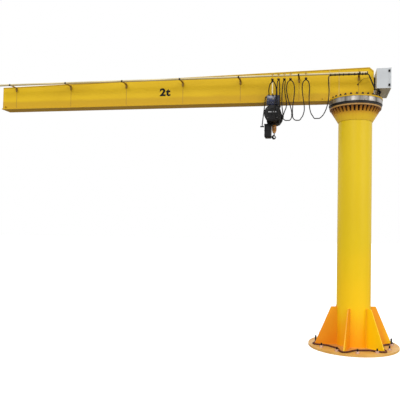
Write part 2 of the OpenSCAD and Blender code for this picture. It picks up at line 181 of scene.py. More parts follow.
def mixColour(name, code, reach):
    # mixes a second colour into a finish, by a share that is eased between two values
    tree = finishes[name].node_tree
    shader = tree.nodes["Principled BSDF"]
    source = shader.inputs["Base Color"].links[0].from_socket
    share = addNode(tree, "MapRange", reach, interpolation_type="SMOOTHSTEP").outputs["Result"]
    mix = addNode(tree, "Mix", {"Factor": share, "A": source, "B": colour(code)}, data_type="RGBA")
    feed(tree, shader, {"Base Color": mix.outputs["Result"]})


def shadeByHeight(name, low, high, code, share):
    # all of the share at and beyond low and none at high, with a wavy edge
    tree = finishes[name].node_tree
    wave = abs(high - low) / 2
    place = addNode(tree, "TexCoord", {}).outputs["Object"]
    height = addNode(tree, "SeparateXYZ", {"Vector": place}).outputs["Z"]
    wavy = addNode(tree, "TexNoise", {"Vector": place, "Scale": 3}).outputs["Fac"]
    shifted = addNode(tree, "Math", {0: wavy, 1: wave, 2: height},
                      operation="MULTIPLY_ADD").outputs["Value"]
    mixColour(name, code, {"Value": shifted, "From Min": low + wave / 2, "From Max": high + wave / 2,
                           "To Min": share, "To Max": 0})


def paintedLightBySector(name, angle, near, far, code, share):
    # painted light: from none of the share at near to all of it at far, towards one side of the pillar
    tree = finishes[name].node_tree
    side = (math.cos(math.radians(angle)), math.sin(math.radians(angle)), 0)
    place = addNode(tree, "TexCoord", {}).outputs["Object"]
    along = addNode(tree, "VectorMath", {0: place, 1: side}, operation="DOT_PRODUCT").outputs["Value"]
    mixColour(name, code, {"Value": along, "From Min": near, "From Max": far, "To Max": share})


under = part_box("lower_flange")[0].z
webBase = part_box("web_front")[0].z
ribLow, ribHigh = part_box("head_ribs")
for shade in (
    # the web darker towards its foot: a painted reflection of the lower flange
    ("girderPaint", webBase + 0.09, webBase + 0.15, "#c2991a", 0.75),
    ("pillarPaint", 0.5, 1.9, "#f6c40c", 0.8),
    # the pillar more orange towards its foot among the gussets: painted shade and painted reflection of the
    # gussets' orange
    ("pillarPaint", 0.1, 0.66, "#f09603", 0.75),
    # the gussets more orange towards the foot plate: painted shade
    ("gussetPaint", 0.0, 0.35, "#ea8503", 0.5),
    # the bell yellower at its foot: painted light below the flange's shade
    ("bellPaint", ribLow.z + 0.04, ribLow.z + 0.15, "#f2ca2e", 1),
    # the bell dark brown up under the head flange: painted shade
    ("bellPaint", ribHigh.z, ribHigh.z - 0.12, "#7a430f", 0.88),
):
    shadeByHeight(*shade)
# the gussets on the side where the light falls turn yellow: painted light
paintedLightBySector("gussetPaint", -46, 0.22, 0.34, "#fbd000", 0.9)

nodeFinishes = {
    "girderPaint": "slew_plate lower_flange web_front web_back tip_plate rear_plate end_stops",
    "edgeHighlightPaint": "root_stiffeners",
    "topPaint": "top_flange",
    "pillarPaint": "pillar_tube",
    "bellPaint": "head_ribs",
    "flangePaint": "head_flange",
    "footPaint": "foot_plate",
    "gussetPaint": "foot_gussets",
    "bracketPaint": "rail_brackets",
    "railSteel": "festoon_rail tow_arm",
    "ringSteel": "slew_ring",
    "raceSteelAndShade": "race_ring",
    "darkSteel": "box_bracket trolley_bars carrier_1 carrier_2 carrier_3 carrier_4",
    "wheelSteel": "trolley_wheels",
    "chainSteel": "chain",
    "hookSteel": "hook",
    "boxPaint": "box_shell box_door",
    "hoistPaint": "hoist_body hoist_motor hoist_gearbox",
    "bluePaint": "trolley_plates trolley_drive",
    "orangePaint": "hook_block",
    "blackPlastic": "cable_gland door_hinges chain_container control_handle",
    "cableJacket": "rail_cable festoon_cable trolley_cable control_lead",
    "brownJacket": "foot_cable",
}
for finish, nodes in nodeFinishes.items():
    for node in nodes.split():
        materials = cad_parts[node].data.materials
        materials.clear()
        materials.append(finishes[finish])

slotFinishes = {
    # finishes that share a slot: each of the others has one of its own name
    "yellow_paint": ("girderPaint", "seamPaint", "bracketPaint", "gussetPaint", "bellPaint", "pocketPaint"),
    "dark_steel": ("boltSteel", "rubber", "blackPaint", "carrierZinc", "saddleSteel", "greyPlastic"),
    "bare_steel": ("zincSteel", "ringSteel", "wheelSteel"),
}


def slotOf(finish):
    for slot, members in slotFinishes.items():
        if finish in members:
            return slot
    return "".join("_" + letter.lower() if letter.isupper() else letter for letter in finish)


print("finishes set:", len(finishes))


# places are in metres, and the sizes that a shape is given are in millimetres

def shift(base, x, y, z):
    return Vector(base) + Vector((x, y, z)) * mm


def rotated(place, degrees, axis="X"):
    return Matrix.Translation(place) @ Matrix.Rotation(math.radians(degrees), 4, axis)


def facing(seat, direction):
    # turns +z to the direction, with its foot at the seat
    return Matrix.Translation(seat) @ Vector(direction).to_track_quat("Z", "Y").to_matrix().to_4x4()


def turns(count, first=0):
    for i in range(count):
        yield Matrix.Rotation(math.radians(first + 360 * i / count), 4, "Z")


def mirrored(right):
    return right + [(-x, y) for x, y in reversed(right)]


def addBevel(bm, verts, size, segments):
    edges = list({e for v in verts for e in v.link_edges})
    bmesh.ops.bevel(bm, geom=edges, offset=size * mm, affect="EDGES", segments=segments, profile=0.5,
                    material=-1)


def addBlock(bm, low, high, bevel=0, segments=2, place=Matrix()):
    low, high = Vector(low), Vector(high)
    place = place @ Matrix.Translation((low + high) / 2) @ Matrix.Diagonal((*(high - low), 1))
    verts = bmesh.ops.create_cube(bm, size=1, matrix=place)["verts"]
    if bevel:
        addBevel(bm, verts, bevel, segments)


def addRibs(bm, count, low, high, bevel, place):
    # equal blocks round the place's z, with their corners in mm
    for turn in turns(count):
        addBlock(bm, Vector(low) * mm, Vector(high) * mm, bevel, 1, place @ turn)


def addRod(bm, a, b, radius, sides=8):
    a, b = Vector(a), Vector(b)
    length = (b - a).length
    place = facing(a, b - a) @ Matrix.Translation((0, 0, length / 2))
    bmesh.ops.create_cone(bm, cap_ends=True, segments=sides, radius1=radius * mm, radius2=radius * mm,
                          depth=length, matrix=place)


def addTurned(bm, profile, place=Matrix(), steps=32):
    # profile: radius and height of each corner, turned about the place's own z
    if not isinstance(place, Matrix):
        place = Matrix.Translation(place)
    verts = [bm.verts.new(place @ Vector((r * mm, 0, h * mm))) for r, h in profile]
    edges = [bm.edges.new(pair) for pair in zip(verts, verts[1:])]
    bmesh.ops.spin(bm, geom=verts + edges, cent=place.translation, axis=place.to_3x3() @ up,
                   angle=math.tau, steps=steps, use_merge=True)


def addHoop(bm, inner, outer, low, high, place, steps):
    # a ring with a square section
    addTurned(bm, [(inner, low), (outer, low), (outer, high), (inner, high), (inner, low)], place, steps)


def addButton(bm, seat, direction, radius, edge, top, height, steps):
    # a round knob with a slanting edge
    addTurned(bm, [(0, 0), (radius, 0), (radius, edge), (top, height), (0, height)],
              facing(seat, direction), steps)


def addBand(bm, place, reach, half, inner, steps):
    # an oval strap: reach is half its length and half its width
    before = set(bm.verts)
    addHoop(bm, inner, 1, -half, half, Matrix(), steps)
    verts = [v for v in bm.verts if v not in before]
    bmesh.ops.transform(bm, matrix=place @ Matrix.Diagonal((*reach, 1, 1)), verts=verts)


def addPlate(bm, outline, thickness, place, bevel=0):
    # outline in the place's own x and y, thickened along its z
    verts = [bm.verts.new(place @ Vector((x * mm, y * mm, 0))) for x, y in outline]
    made = bmesh.ops.extrude_face_region(bm, geom=[bm.faces.new(verts)])
    top = [g for g in made["geom"] if isinstance(g, bmesh.types.BMVert)]
    bmesh.ops.translate(bm, verts=top, vec=place.to_3x3() @ Vector((0, 0, thickness * mm)))
    if bevel:
        addBevel(bm, verts + top, bevel, 2)


def addNut(bm, seat, direction, flats, height, stud=0, washer=0):
    # a bevelled hexagon on its seat, with a washer under it and a stud through it
    seat, direction = Vector(seat), Vector(direction)
    place = facing(seat, direction)
    radius = flats / math.sqrt(3)
    bottom = 3 if washer else 0
    if washer:
        addTurned(bm, [(0, 0), (washer, 0), (washer, bottom), (0, bottom)], place, 20)
    addTurned(bm, [(0, bottom), (radius, bottom), (radius, height * 0.86), (radius * 0.86, height),
                   (0, height)], place, 6)
    if stud:
        addRod(bm, seat + direction * (height - 1) * mm, seat + direction * stud * mm, flats * 0.31, 12)


def smoothRoute(points, steps):
    # rounds a list of points through every point
    p = [Vector(v) for v in points]
    p = [2 * p[0] - p[1]] + p + [2 * p[-1] - p[-2]]
    route = []
    for a, b, c, d in zip(p, p[1:], p[2:], p[3:]):
        for i in range(steps):
            t = i / steps
            route.append(0.5 * (2 * b + (c - a) * t + (2 * a - 5 * b + 4 * c - d) * t * t
                                + (3 * b - a - 3 * c + d) * t ** 3))
    return route + [p[-2]]


def meshOf(data):
    # the mesh of a curve or a text, which is then removed
    source = addObject(data.name, data)
    bpy.context.view_layer.update()
    mesh = bpy.data.meshes.new_from_object(source.evaluated_get(bpy.context.evaluated_depsgraph_get()))
    bpy.data.objects.remove(source)
    bpy.data.curves.remove(data)
    bm = bmesh.new()
    bm.from_mesh(mesh)
    bpy.data.meshes.remove(mesh)
    return bm


def tubeMesh(route, diameter, closed=False, sides=3):
    data = bpy.data.curves.new("tube", "CURVE")
    data.dimensions = "3D"
    data.bevel_depth = diameter / 2
    data.bevel_resolution = sides
    data.use_fill_caps = not closed
    spline = data.splines.new("POLY")
    spline.points.add(len(route) - 1)
    for point, place in zip(spline.points, route):
        point.co = (*place, 1)
    spline.use_cyclic_u = closed
    return meshOf(data)


def makePiece(name, bm, finish, body=None, replaced=(), angle=35, slot=None, welded=True):
    if welded:
        bmesh.ops.remove_doubles(bm, verts=bm.verts, dist=0.02 * mm)
        bmesh.ops.recalc_face_normals(bm, faces=bm.faces)
    mesh = bpy.data.meshes.new(name)
    bm.to_mesh(mesh)
    bm.free()
    mesh.shade_smooth()
    mesh.set_sharp_from_angle(angle=math.radians(angle))
    mesh.materials.append(finishes[finish])
    piece = addObject(name, mesh)
    if body:
        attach(piece, body)
    slot or slotOf(finish)
    if replaced:
        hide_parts(*replaced)
    return piece


def makeTube(name, route, diameter, body, replaced=(), finish="cableJacket", closed=False):
    return makePiece(name, tubeMesh(route, diameter, closed), finish, body, replaced, 60)


def makeCord(name, route, diameter, body, replaced):
    cord = makeTube(name, route, diameter, body, replaced)


railLow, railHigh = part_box("festoon_rail")
railY = (railLow.y + railHigh.y) / 2
railZ = (railLow.z + railHigh.z) / 2
railRadius = (railHigh.z - railLow.z) / 2
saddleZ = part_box("carrier_1")[0].z


def middleX(node):
    low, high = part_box(node)
    return (low.x + high.x) / 2


carrierX = [middleX("carrier_%d" % i) for i in range(1, 5)]
trolleyX = middleX("trolley_plates")
holders = ["jib", "carrier_1", "carrier_2", "carrier_3", "carrier_4", "trolley"]

festoonSettings = {
    "diameter": 16 * mm,
    "hangX": -0.43,
    "half": 12 * mm,  # from a carrier's middle to where the cable leaves it
    "ease": 50 * mm,  # over which a strand levels out towards the loop's foot
    "gap": 0.2 * mm,
    # each loop: x from where it hangs, depth below the carriers' saddle and step towards the web, in mm
    "loops": [
        [(2, 60), (10, 160), (8, 270), (-8, 380), (-38, 485), (-92, 578), (-165, 612), (-222, 590),
         (-270, 515), (-292, 400), (-298, 270), (-292, 150), (-296, 75), (-308, 32), (-324, 9)],
        [(-16, 9), (-32, 32), (-43, 75), (-45, 150), (-30, 270), (-12, 390), (-10, 490), (-40, 580),
         (-95, 632), (-150, 626), (-186, 590), (-194, 500, 9), (-190, 400, 9), (-176, 290, 9),
         (-166, 170), (-172, 80), (-186, 34), (-203, 9)],
        [(-16, 9, -3), (-32, 32, -8), (-44, 80, -10), (-46, 160, -10), (-26, 280, -10), (6, 380, -10),
         (34, 480, -9), (40, 560), (24, 610), (-18, 634), (-76, 622), (-100, 585, 4), (-80, 500, 9),
         (-52, 420, 10), (-50, 330, 10), (-72, 200, 10), (-78, 110, 10), (-76, 50, 9), (-72, 14, 4)],
        [(-6, 20, -4), (-12, 90, -10), (-22, 240, -10), (-20, 400, -10), (-6, 510, -10), (-3, 560, -7),
         (-12, 606, -2), (-36, 622), (-60, 606, 3), (-68, 560, 9), (-66, 450, 10), (-58, 300, 10),
         (-62, 150, 10), (-66, 50, 6)],
        [(-6, 20, -5), (-12, 120, -10), (-4, 300, -10), (14, 440, -10), (20, 550, -9), (6, 606, -3),
         (-15, 620), (-38, 606, 2), (-50, 550, 7), (-50, 420, 10), (-30, 260, 10), (-22, 160, 10),
         (-30, 90, 10), (-48, 36, 8), (-64, 8, 3)],
    ],
    "levels": [50, 36, 34, 24, 24],  # the level stretch at each loop's foot, in mm
    # straps round the two strands that hang from one carrier: name, body, x and z
    "ties": [("loopTie1", "carrier_2", -0.990, 3.632), ("loopTie2", "carrier_3", -1.136, 3.600)],
}
cableTop = saddleZ - 0.3 * mm - festoonSettings["diameter"] / 2  # the cable's middle under a saddle


def ratioToShare(w):
    # the share of the way at which the blend reaches w
    return 0.5 - math.sin(math.asin(1 - 2 * w) / 3)


def splitLoop(route, level, s):
    # two hanging strands, which level out towards the loop's lowest point, and the stretch between them
    low = min(range(len(route)), key=lambda i: route[i].z)
    foot = route[low].copy()
    strands = []
    for side, part in ((1, route[:low]), (-1, route[:low:-1])):
        strand = []
        for p in part:
            away = (p - foot).length - level / 2
            if away > 4 * mm:
                t = min(away / s["ease"], 1)
                strand.append(Vector((p.x, p.y, foot.z + (p.z - foot.z) * t * t * (3 - 2 * t))))
        strands.append(strand + [foot + Vector((side * (level / 2 + out), 0, 0)) for out in (3 * mm, 0)])
    first, second = strands[0], strands[1][::-1]
    gap = Vector((s["gap"], 0, 0))
    return first, [(first[-1] - gap).lerp(second[0] + gap, i / 8) for i in range(9)], second


def makeFestoon(s):
    held = [s["hangX"] - s["half"]] + carrierX + [trolleyX]
    levels = []
    for i, shape in enumerate(s["loops"]):
        startX = held[i] - s["half"] if i else s["hangX"]
        startZ = cableTop - s["half"] if i else cableTop
        start = Vector((startX, railY, startZ))
        end = Vector((held[i + 1] + s["half"], railY, cableTop - s["half"]))
        points = [Vector((startX + x * mm, railY + sum(y) * mm, end.z - z * mm)) for x, z, *y in shape]
        first, level, second = splitLoop(smoothRoute([start] + points + [end], 7), s["levels"][i] * mm, s)
        middle = makeTube("cableLevel%d" % (i + 1), level, s["diameter"], None, ["festoon_cable"])
        for side, route, body in (("A", first, holders[i]), ("B", second, holders[i + 1])):
            name = "cableLoop%d%s" % (i + 1, side)
            makeCord(name, route, s["diameter"], body, ["festoon_cable"])
        # the blend's line runs on past the stretch, so that each end keeps its carrier's share
        shares = [ratioToShare(i / 5), ratioToShare((i + 1) / 5)]
        span = (level[-1].x - level[0].x) / (shares[1] - shares[0])
        blendStart = level[0].x - shares[0] * span
        levels.append((middle, (blendStart, railY, railZ), (blendStart + span, railY, railZ)))
    return levels


def makeBights(s):
    # the short arches that the saddles hold
    half = s["half"] / mm
    for i, x in enumerate(carrierX + [trolleyX], 1):
        arch = [(half, half), (7, 3), (0, 0), (-7, 3), (-half, half)]
        if holders[i] == "trolley":
            arch.append((-half, 2 * half))
        route = [shift((x, railY, cableTop), along, 0, -down) for along, down in arch]
        makeTube("cableBight%d" % i, smoothRoute(route, 5), s["diameter"], holders[i])


def makeLoopTies(s):
    for name, body, x, z in s["ties"]:
        place = Vector((x, railY, z))
        bm = bmesh.new()
        addBand(bm, Matrix.Translation(place), (17, 13), 6, 0.9, 24)
        addBlock(bm, shift(place, -5, -17, -6), shift(place, 5, -9, 6), 2)
        makePiece(name, bm, "blackPlastic", body, angle=60)


festoonLevels = makeFestoon(festoonSettings)
makeBights(festoonSettings)
makeLoopTies(festoonSettings)

driveLow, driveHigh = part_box("trolley_drive")
driveY = (driveLow.y + driveHigh.y) / 2
boxLow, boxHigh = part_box("box_shell")
glandLow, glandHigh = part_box("cable_gland")
gland = (glandLow + glandHigh) / 2

fixedCables = {
    "diameter": 16 * mm,
    # from the first loop along the rail: x and mm from the rail's underside line
    "rail": [(-430, -48), (-427, -25), (-416, -9), (-394, 0), (-215, 0), (0, 0), (85, 0), (155, -1)],
    # round under the box, in mm from the gland's mouth
    "tail": [(-45, -156, 4), (-27, -136, -16), (-14, -100, -36), (-5, -56, -46), (-1, -16, -38),
             (0, -3, -24), (0, 0, -12), (0, 0, 0)],
    # from the tow arm's saddle down into the drive: mm from the saddle, then from the drive's top
    "trolley": [(0, 0, 0), (-8, 0, -10), (-26, 2, -34), (-40, 14, -76), (-50, 44, -125)],
    "trolleyEnd": [(-66, -29, 52), (-66, -6, 28), (-66, 0, 12), (-66, 0, 0)],
    "leadDiameter": 16 * mm,
    # x from the drive's side and height above the arm's underside, in mm
    "lead": [(0, 75), (-8, 75), (-18, 66), (-24, 30), (-30, -50), (-40, -140), (-50, -230), (-60, -320),
             (-66, -380), (-66, -395)],
    "sleeveDiameter": 20 * mm,
}
tiedZ = railZ - railRadius - fixedCables["diameter"] / 2 - 0.3 * mm  # the cable's middle along the rail


def makeFixedCables(s):
    leave = shift((railHigh.x, railY, tiedZ), 14, 0, -12)
    corner = shift((boxLow.x, railY, boxLow.z), -24, 0, -4)
    route = [Vector((festoonSettings["hangX"], railY, cableTop))]
    route += [Vector((x * mm, railY, tiedZ + z * mm)) for x, z in s["rail"]]
    route += [leave.lerp(corner, t / 3) for t in range(4)]
    route += [shift((gland.x, gland.y, glandLow.z), *p) for p in s["tail"]]
    makeTube("railCable", smoothRoute(route, 5), s["diameter"], "jib", ["rail_cable"])
    sleeve = [leave.lerp(corner, t / 24) for t in range(1, 22)]
    bm = tubeMesh(sleeve, s["sleeveDiameter"])
    for a, b in zip(sleeve[::2], sleeve[1::2]):  # the sleeve's ridges
        addTurned(bm, [(9, -2), (11.5, 0), (9, 2)], facing(a, b - a), 16)
    makePiece("cableSleeve", bm, "blackPlastic", "jib", (), 60, "cable_jacket")
    saddle = (trolleyX - festoonSettings["half"], railY, cableTop - 24 * mm)
    route = [shift(saddle, *p) for p in s["trolley"]]
    route += [shift((trolleyX, driveY, driveHigh.z), *p) for p in s["trolleyEnd"]]
    makeTube("trolleyCable", smoothRoute(route, 6), s["diameter"], "trolley", ["trolley_cable"])


def makeControlLead(s):
    route = smoothRoute([shift((driveLow.x, driveY, under), x, 0, z) for x, z in s["lead"]], 6)
    makeCord("controlLead", route, s["leadDiameter"], "trolley", ["control_lead"])


footCableSettings = {"inner": 455, "outer": 639, "waves": 6, "turn": 14, "steps": 288,
                     "diameter": 26 * mm}


def makeFootCable(s):
    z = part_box("foot_cable")[0].z + s["diameter"] / 2
    route = []
    for turn in turns(s["steps"]):
        a = turn.to_euler().z - math.radians(s["turn"])
        wave = ((1 + math.cos(s["waves"] * a)) / 2) ** 3
        route.append(turn @ shift((0, 0, z), s["inner"] + (s["outer"] - s["inner"]) * wave, 0, 0))
    makeTube("footCable", route, s["diameter"], "pillar", ["foot_cable"], "brownJacket", True)


makeFixedCables(fixedCables)
makeControlLead(fixedCables)
makeFootCable(footCableSettings)
print("cables laid")


footSettings = {
    "anchors": 12, "anchorTurn": 3, "anchorRadius": 585, "nutFlats": 46, "nutHeight": 26, "washer": 34,
    "studRadius": 12, "studHeight": 112, "shortStud": 62, "shortOnes": (7, 8, 9, 10, 11), "pitch": 10,
    "gussets": 6, "gussetTurn": 14, "gussetThickness": 15, "gussetToe": 610, "weld": 7,
}
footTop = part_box("foot_plate")[1].z
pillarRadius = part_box("pillar_tube")[1].x
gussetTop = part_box("foot_gussets")[1].z


def makeAnchors(s):
    nuts, studs = bmesh.new(), bmesh.new()
    nut, r = s["nutHeight"], s["studRadius"]
    for i, turn in enumerate(turns(s["anchors"], s["anchorTurn"])):
        seat = turn @ shift((0, 0, footTop), s["anchorRadius"], 0, 0)
        height = s["shortStud"] if i in s["shortOnes"] else s["studHeight"]
        addNut(nuts, seat, up, s["nutFlats"], nut, 0, s["washer"])
        addRod(studs, shift(seat, 0, 0, nut - 1), shift(seat, 0, 0, height), r, 14)
        threads = round((height - nut) / s["pitch"])
        for k in range(threads):
            z = nut + (height - nut) * (k + 0.5) / threads
            addTurned(studs, [(r, z - 4), (r + 1.2, z), (r, z + 4)], seat, 14)
    makePiece("anchorNuts", nuts, "zincSteel", "pillar")
    makePiece("anchorStuds", studs, "boltSteel", "pillar")


def makeFootWelds(s):
    bm = bmesh.new()
    r = pillarRadius / mm
    ring = [(r - 1, -1), (r + 10, -1), (r + 7, 6), (r - 1, 11), (r - 1, -1)]
    addTurned(bm, ring, (0, 0, footTop), 96)
    for turn in turns(s["gussets"], s["gussetTurn"]):
        for side in (-1, 1):
            y = side * s["gussetThickness"] / 2
            foot = (0, 0, footTop)
            for a, b in ((shift(foot, r + 2, y, 1), shift(foot, s["gussetToe"] - 4, y, 1)),
                         (shift(foot, r, y, 0), shift((0, 0, gussetTop), r, y, 0))):
                addRod(bm, turn @ a, turn @ b, s["weld"])
    makePiece("footWelds", bm, "gussetPaint", "pillar")


makeAnchors(footSettings)
makeFootWelds(footSettings)
print("foot done")


headSettings = {
    # a nut or a bolt's head: across its flats, height, stud and washer
    "ribs": 36, "boltRadius": 372, "bolt": (24, 16, 26, 15),
    "nuts": 28, "nutTurn": -90, "nutRadius": 392, "nut": (32, 26, 36, 20), "clear": 75 * mm,
    # the bell between the ribs: its foot, how far it is sunk, where the pockets begin and how deep they are
    "ribFoot": 8, "sunk": 1, "cone": 0.6, "pocket": 14, "cheek": 33,
}
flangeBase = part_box("head_flange")[0].z
ringLow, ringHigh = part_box("slew_ring")
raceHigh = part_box("race_ring")[1]
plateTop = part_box("slew_plate")[1].z
girderHalf = -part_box("web_front")[0].y


def makeHeadBolts(s):
    bm = bmesh.new()
    for turn in turns(s["ribs"], 180 / s["ribs"]):
        seat = turn @ shift((0, 0, flangeBase), s["boltRadius"], 0, 0)
        addNut(bm, seat, -up, *s["bolt"])
    makePiece("headBolts", bm, "boltSteel", "pillar")


def makeBell(s):
    # a cone closes the ribs up to where their pockets begin, with cheeks beside each pocket and a dark
    # sheet behind it as painted shade
    place = Matrix.Translation((0, 0, ribLow.z))
    tall = (ribHigh.z - ribLow.z) / mm
    tube = pillarRadius / mm
    slope = (ribHigh.x / mm - s["ribFoot"] - tube) / tall
    pocket = tall * s["cone"]
    foot = tube + s["ribFoot"] - s["sunk"]
    inner, rim, lip = tube + 0.3, foot + slope * pocket, foot + slope * tall
    back = rim - s["pocket"]
    bm = bmesh.new()
    addTurned(bm, [(inner, 0), (foot, 0), (rim, pocket), (back, pocket), (inner, pocket), (inner, 0)],
              place, 96)
    cheek = [(back - 2, pocket - 1), (rim, pocket - 1), (lip, tall - 0.3), (back + 4, tall - 0.3)]
    upright = rotated((0, s["cheek"] / 2 * mm, 0), 90)
    for turn in turns(s["ribs"]):
        addPlate(bm, cheek, s["cheek"], place @ turn @ upright)
    makePiece("bellCone", bm, "bellPaint", "pillar")
    # the dark sheet behind the pockets is painted shade
    bm = bmesh.new()
    addTurned(bm, [(inner, pocket), (back, pocket), (back + 6, tall - 0.5), (inner, tall - 0.5),
                   (inner, pocket)], place, 96)
    makePiece("bellPaintedShade", bm, "pocketPaint", "pillar")


def makePlateNuts(s):
    bm = bmesh.new()
    for turn in turns(s["nuts"], s["nutTurn"]):
        seat = turn @ shift((0, 0, plateTop), s["nutRadius"], 0, 0)
        if abs(seat.y) >= girderHalf + s["clear"]:
            addNut(bm, seat, up, *s["nut"])
    makePiece("plateNuts", bm, "boltSteel", "jib")


ringSettings = {"beadIn": 12 * mm, "nipples": 4, "nippleTurn": 20, "steps": 128}


def makeRingDetails(s):
    # two turned beads, the seal's lip and the grease nipples
    r = ringHigh.x / mm
    bm = bmesh.new()
    for z in (ringLow.z + s["beadIn"], ringHigh.z - s["beadIn"]):
        addTurned(bm, [(r - 1, -2), (r + 1.5, 0), (r - 1, 2)], (0, 0, z), s["steps"])
    makePiece("ringBeads", bm, "ringSteel", "jib")
    bm = bmesh.new()
    lip = raceHigh.x / mm
    addTurned(bm, [(lip - 2, -9), (lip + 5, -8), (lip + 7, -3), (lip - 2, -3), (lip - 2, -9)],
              (0, 0, raceHigh.z), s["steps"])
    makePiece("ringSeal", bm, "rubber", "pillar")
    bm = bmesh.new()
    for turn in turns(s["nipples"], s["nippleTurn"]):
        out = turn @ Vector((1, 0, 0))
        addNut(bm, out * (ringHigh.x - mm) + up * (ringLow.z + ringHigh.z) / 2, out, 11, 6, 13)
    makePiece("greaseNipples", bm, "wheelSteel", "jib")


makeHeadBolts(headSettings)
makeBell(headSettings)
makePlateNuts(headSettings)
makeRingDetails(ringSettings)
print("head done")


armSettings = {
    "weld": 4, "bracketFirst": 265 * mm, "bracketLast": 45 * mm, "brackets": 7, "crowd": 0.066,
    "seamWidth": 7, "seamHeight": 1.2, "seamEnd": 6, "bar": 3,
}
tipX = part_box("lower_flange")[0].x
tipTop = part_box("tip_plate")[1].z
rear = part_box("rear_plate")[1]
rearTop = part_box("web_front")[1].z
stopLow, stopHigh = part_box("end_stops")


def bracketPlaces(s):
    first = tipX + s["bracketFirst"]
    for i in range(s["brackets"]):
        t = i / (s["brackets"] - 1)
        yield first + (s["bracketLast"] - first) * (t + s["crowd"] * t * (1 - t))


def webTop(x):
    # the web's sloping upper edge
    return tipTop + (x - tipX) * (rearTop - tipTop) / (rear.x - 60 * mm - tipX)


def makeArmWelds(s):
    bm = bmesh.new()
    start, end, crest = tipX + 5 * mm, rear.x - 2 * mm, rear.x - 62 * mm
    lines = [(start, webBase, end, webBase), (start, webTop(tipX), crest, webTop(crest)),
             (tipX + 2 * mm, webBase, tipX + 2 * mm, tipTop), (end, webBase, end, rear.z)]
    for y in (-girderHalf, girderHalf):
        for x1, z1, x2, z2 in lines:
            addRod(bm, (x1, y, z1), (x2, y, z2), s["weld"])
    makePiece("armWelds", bm, "girderPaint", "jib")


def makeArmSeams(s):
    # faint upright seams where the inner bulkheads are plug welded, and round bars at the arm's root
    bm = bmesh.new()
    wide, high, end = s["seamWidth"] / 2, s["seamHeight"], s["seamEnd"]
    for x in bracketPlaces(s):
        for y in (-girderHalf, girderHalf):
            addBlock(bm, shift((x, y, webBase), -wide, -high, end),
                     shift((x, y, webTop(x)), wide, high, -end))
    y = -girderHalf - mm
    for x in (corner.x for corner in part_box("root_stiffeners")):
        addRod(bm, shift((x, y, webBase), 0, 0, end), shift((x, y, webTop(x)), 0, 0, -end), s["bar"])
    makePiece("armSeams", bm, "seamPaint", "jib")


def makeStopPads():
    # a painted pad on each end stop, on the side that the trolley meets
    bm = bmesh.new()
    for x, out in ((stopLow.x + 30 * mm, 1), (stopHigh.x - 30 * mm, -1)):
        for side in (-1, 1):
            seat = (x, side * (girderHalf + 16 * mm), (stopLow.z + stopHigh.z) / 2)
            addButton(bm, shift(seat, -out, 0, 0), (out, 0, 0), 12, 7, 8, 10, 20)
    makePiece("stopPads", bm, "seamPaint", "jib")


railSettings = {
    "bolt": (10, 6, 9), "strap": 2.5, "strapHalf": 12, "strapNut": (9, 14), "cap": 1.5,
    "ties": (-0.395, -0.33, -0.262, -0.2, -0.118, -0.03, 0.02, 0.09, 0.135), "tie": (9.5, 2),
}


def makeRailStraps(s):
    # the straps that hold the rail on its brackets, and the brackets' bolts in the web
    bolts, straps = bmesh.new(), bmesh.new()
    inner, outer, half = railRadius / mm - 1, railRadius / mm + s["strap"], s["strapHalf"]
    for x in bracketPlaces(armSettings):
        place = rotated((x, railY, railZ), 90, "Y")
        addHoop(straps, inner, outer, -half, half, place, 28)
        for side in (-1, 1):
            addNut(bolts, shift((x, -girderHalf, railZ), side * 8, -9, -50), forward, *s["bolt"])
            addNut(straps, shift((x, railY, railZ), 0, 14 + side * 4, 5), up, *s["strapNut"])
    # the bracket bolts share the brackets' painted shade
    makePiece("bracketBolts", bolts, "bracketPaint", "jib")
    makePiece("railStraps", straps, "darkSteel", "jib")


def makeRailEnds(s):
    bm = bmesh.new()
    r = railRadius / mm
    outer = r + s["cap"]
    for x, out in ((railLow.x, -1), (railHigh.x, 1)):
        addTurned(bm, [(0, 0.5), (r * 0.8, 0.5), (outer, -3), (outer, -14), (r - 1, -14), (0, -14)],
                  rotated((x, railY, railZ), out * 90, "Y"), 28)
    makePiece("railCaps", bm, "blackPlastic", "jib")


def makeCableTies(s):
    bm = bmesh.new()
    reach = [railRadius / mm + more for more in s["tie"]]
    for x in s["ties"]:
        addBand(bm, rotated((x, railY, (railZ + tiedZ) / 2 - mm), 90, "Y"), reach, 5, 0.94, 28)
    makePiece("cableTies", bm, "blackPlastic", "jib")


wireSettings = {
    # mm from the web at x = 0 and the rail's height, how far the arc rises, and the end beside the rail
    "from": (30, -3, -128), "to": (178, -30, -40), "rise": 34, "diameter": 5 * mm,
    "arc": (0.15, 0.35, 0.55, 0.75, 0.9), "end": ((0.215, 60), (0.222, 6)),
}


def makeWebWire(s):
    # a thin lead from its bush in the web, up in an arc to the rail's end
    web = (0, -girderHalf, railZ)
    a, b = shift(web, *s["from"]), shift(web, *s["to"])
    (x1, y1), (x2, y2) = s["end"]
    route = [a] + [a.lerp(b, t) + up * s["rise"] * mm * math.sin(math.pi * t) for t in s["arc"]] + [b]
    route += [shift((x1, railY, railZ), 0, y1, -52), shift((x2, railY, tiedZ), 0, y2, -52)]
    makeTube("webWire", smoothRoute(route, 6), s["diameter"], "jib")
    bm = bmesh.new()
    addButton(bm, shift(a, 0, 3, 0), forward, 11, 4, 7, 8, 20)
    makePiece("webBush", bm, "blackPlastic", "jib")


numberSettings = {
    "text": "2t", "height": 128 * mm, "x": -3.162, "z": 152 * mm,
    "bold": 8 * mm, "wide": 1.16, "spacing": 1.1,
    "capital": 0.69,  # a capital's height as a share of the text's size
}


